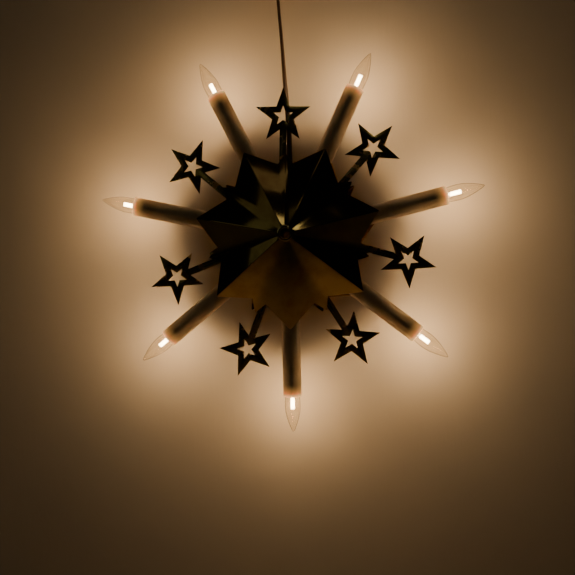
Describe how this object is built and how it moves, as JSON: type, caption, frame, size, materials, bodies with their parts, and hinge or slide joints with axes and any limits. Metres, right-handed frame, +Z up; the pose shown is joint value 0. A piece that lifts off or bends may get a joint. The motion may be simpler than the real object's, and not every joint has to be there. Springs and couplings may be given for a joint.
{
  "type": "electric advent star lamp",
  "caption": "Hanging brass advent star: two folded stars back to back on a drum, with radial candle lights and flat star arms, on a flat flex from a ceiling cup.",
  "frame": {"origin": "middle of the ceiling plate's top face, where the lamp is held up", "axes": "+Z up, out of the ceiling plate; -Y to the front, the way the folded front star's apex points; +X to the right as seen from the front"},
  "size_m": [0.3746, 0.0858, 0.468],
  "materials": {
    "star_brass": "polished, softly reflecting",
    "arm_brass": "polished sheet",
    "fitting_brass": "polished, turned",
    "cup_brass": "polished, spun",
    "drum_steel": "plated sheet",
    "steel": "zinc plated",
    "candle_sleeve": "ivory candle sleeve, translucent",
    "holder_plastic": "moulded lampholder",
    "bulb_cap": "rolled screw cap",
    "bulb_glass": "clear, lit warm white",
    "wire_cover": "thin insulated wire",
    "block_plastic": "moulded block",
    "black_plastic": "moulded",
    "flex_cover": "brown flat twin flex"
  },
  "bodies": {
    "lamp": {"front_star": "star_brass", "rear_star": "star_brass", "centre_tube": "fitting_brass", "front_ring_nut": "fitting_brass", "rear_ring_nut": "fitting_brass", "front_spacer": "steel", "rear_spacer": "steel", "drum_cup": "drum_steel", "drum_lid": "drum_steel", "candle_tubes": "steel", "tube_nuts": "steel", "sleeve_plugs": "black_plastic", "arm_brackets": "steel", "arm_rivets": "fitting_brass", "bracket_rivets": "steel", "series_wires": "wire_cover", "supply_wires": "wire_cover", "terminal_block": "block_plastic", "terminal_screws": "steel", "flex_bushing": "black_plastic", "flex": "flex_cover", "cord_grip": "black_plastic", "ceiling_cup": "cup_brass", "ceiling_plate": "steel", "ceiling_block": "block_plastic", "candle_sleeve_1": "candle_sleeve", "lampholder_1": "holder_plastic", "candle_sleeve_2": "candle_sleeve", "lampholder_2": "holder_plastic", "candle_sleeve_3": "candle_sleeve", "lampholder_3": "holder_plastic", "candle_sleeve_4": "candle_sleeve", "lampholder_4": "holder_plastic", "candle_sleeve_5": "candle_sleeve", "lampholder_5": "holder_plastic", "candle_sleeve_6": "candle_sleeve", "lampholder_6": "holder_plastic", "candle_sleeve_7": "candle_sleeve", "lampholder_7": "holder_plastic"},
    "arm_1": {"star_arm_1": "arm_brass"},
    "bulb_1": {"bulb_base_1": "bulb_cap", "bulb_glass_1": "bulb_glass"},
    "arm_2": {"star_arm_2": "arm_brass"},
    "bulb_2": {"bulb_base_2": "bulb_cap", "bulb_glass_2": "bulb_glass"},
    "arm_3": {"star_arm_3": "arm_brass"},
    "bulb_3": {"bulb_base_3": "bulb_cap", "bulb_glass_3": "bulb_glass"},
    "arm_4": {"star_arm_4": "arm_brass"},
    "bulb_4": {"bulb_base_4": "bulb_cap", "bulb_glass_4": "bulb_glass"},
    "arm_5": {"star_arm_5": "arm_brass"},
    "bulb_5": {"bulb_base_5": "bulb_cap", "bulb_glass_5": "bulb_glass"},
    "arm_6": {"star_arm_6": "arm_brass"},
    "bulb_6": {"bulb_base_6": "bulb_cap", "bulb_glass_6": "bulb_glass"},
    "arm_7": {"star_arm_7": "arm_brass"},
    "bulb_7": {"bulb_base_7": "bulb_cap", "bulb_glass_7": "bulb_glass"}
  },
  "joints": [
    {"name": "arm_1_swivel", "type": "hinge", "parent": "lamp", "child": "arm_1", "pos_m": [-0.01805, -0.004, -0.33458], "axis": [0, -1, 0], "range_deg": [-16.4, 7.6]},
    {"name": "arm_2_swivel", "type": "hinge", "parent": "lamp", "child": "arm_2", "pos_m": [0.03662, -0.004, -0.33094], "axis": [0, -1, 0], "range_deg": [-17.4, 6.6]},
    {"name": "arm_3_swivel", "type": "hinge", "parent": "lamp", "child": "arm_3", "pos_m": [0.06785, -0.004, -0.28592], "axis": [0, -1, 0], "range_deg": [-8.1, 15.9]},
    {"name": "arm_4_swivel", "type": "hinge", "parent": "lamp", "child": "arm_4", "pos_m": [0.05214, -0.004, -0.23344], "axis": [0, -1, 0], "range_deg": [-20.7, 3.3]},
    {"name": "arm_5_swivel", "type": "hinge", "parent": "lamp", "child": "arm_5", "pos_m": [0.0013, -0.004, -0.213], "axis": [0, -1, 0], "range_deg": [-10, 14]},
    {"name": "arm_6_swivel", "type": "hinge", "parent": "lamp", "child": "arm_6", "pos_m": [-0.04637, -0.004, -0.24], "axis": [0, -1, 0], "range_deg": [-9.6, 14.4]},
    {"name": "arm_7_swivel", "type": "hinge", "parent": "lamp", "child": "arm_7", "pos_m": [-0.05499, -0.004, -0.29411], "axis": [0, -1, 0], "range_deg": [-18.8, 5.2]},
    {"name": "bulb_1_screw", "type": "hinge", "parent": "lamp", "child": "bulb_1", "pos_m": [0.0055, -0.004, -0.426], "axis": [0, 0, -1], "range_deg": [0, 1080]},
    {"name": "bulb_2_screw", "type": "hinge", "parent": "lamp", "child": "bulb_2", "pos_m": [0.12277, -0.004, -0.36952], "axis": [0.7818, 0, -0.6235], "range_deg": [0, 1080]},
    {"name": "bulb_3_screw", "type": "hinge", "parent": "lamp", "child": "bulb_3", "pos_m": [0.15174, -0.004, -0.24262], "axis": [0.9749, 0, 0.2225], "range_deg": [0, 1080]},
    {"name": "bulb_4_screw", "type": "hinge", "parent": "lamp", "child": "bulb_4", "pos_m": [0.07058, -0.004, -0.14086], "axis": [0.4339, 0, 0.901], "range_deg": [0, 1080]},
    {"name": "bulb_5_screw", "type": "hinge", "parent": "lamp", "child": "bulb_5", "pos_m": [-0.05958, -0.004, -0.14086], "axis": [-0.4339, 0, 0.901], "range_deg": [0, 1080]},
    {"name": "bulb_6_screw", "type": "hinge", "parent": "lamp", "child": "bulb_6", "pos_m": [-0.14074, -0.004, -0.24262], "axis": [-0.9749, 0, 0.2225], "range_deg": [0, 1080]},
    {"name": "bulb_7_screw", "type": "hinge", "parent": "lamp", "child": "bulb_7", "pos_m": [-0.11177, -0.004, -0.36952], "axis": [-0.7818, 0, -0.6235], "range_deg": [0, 1080]}
  ]
}
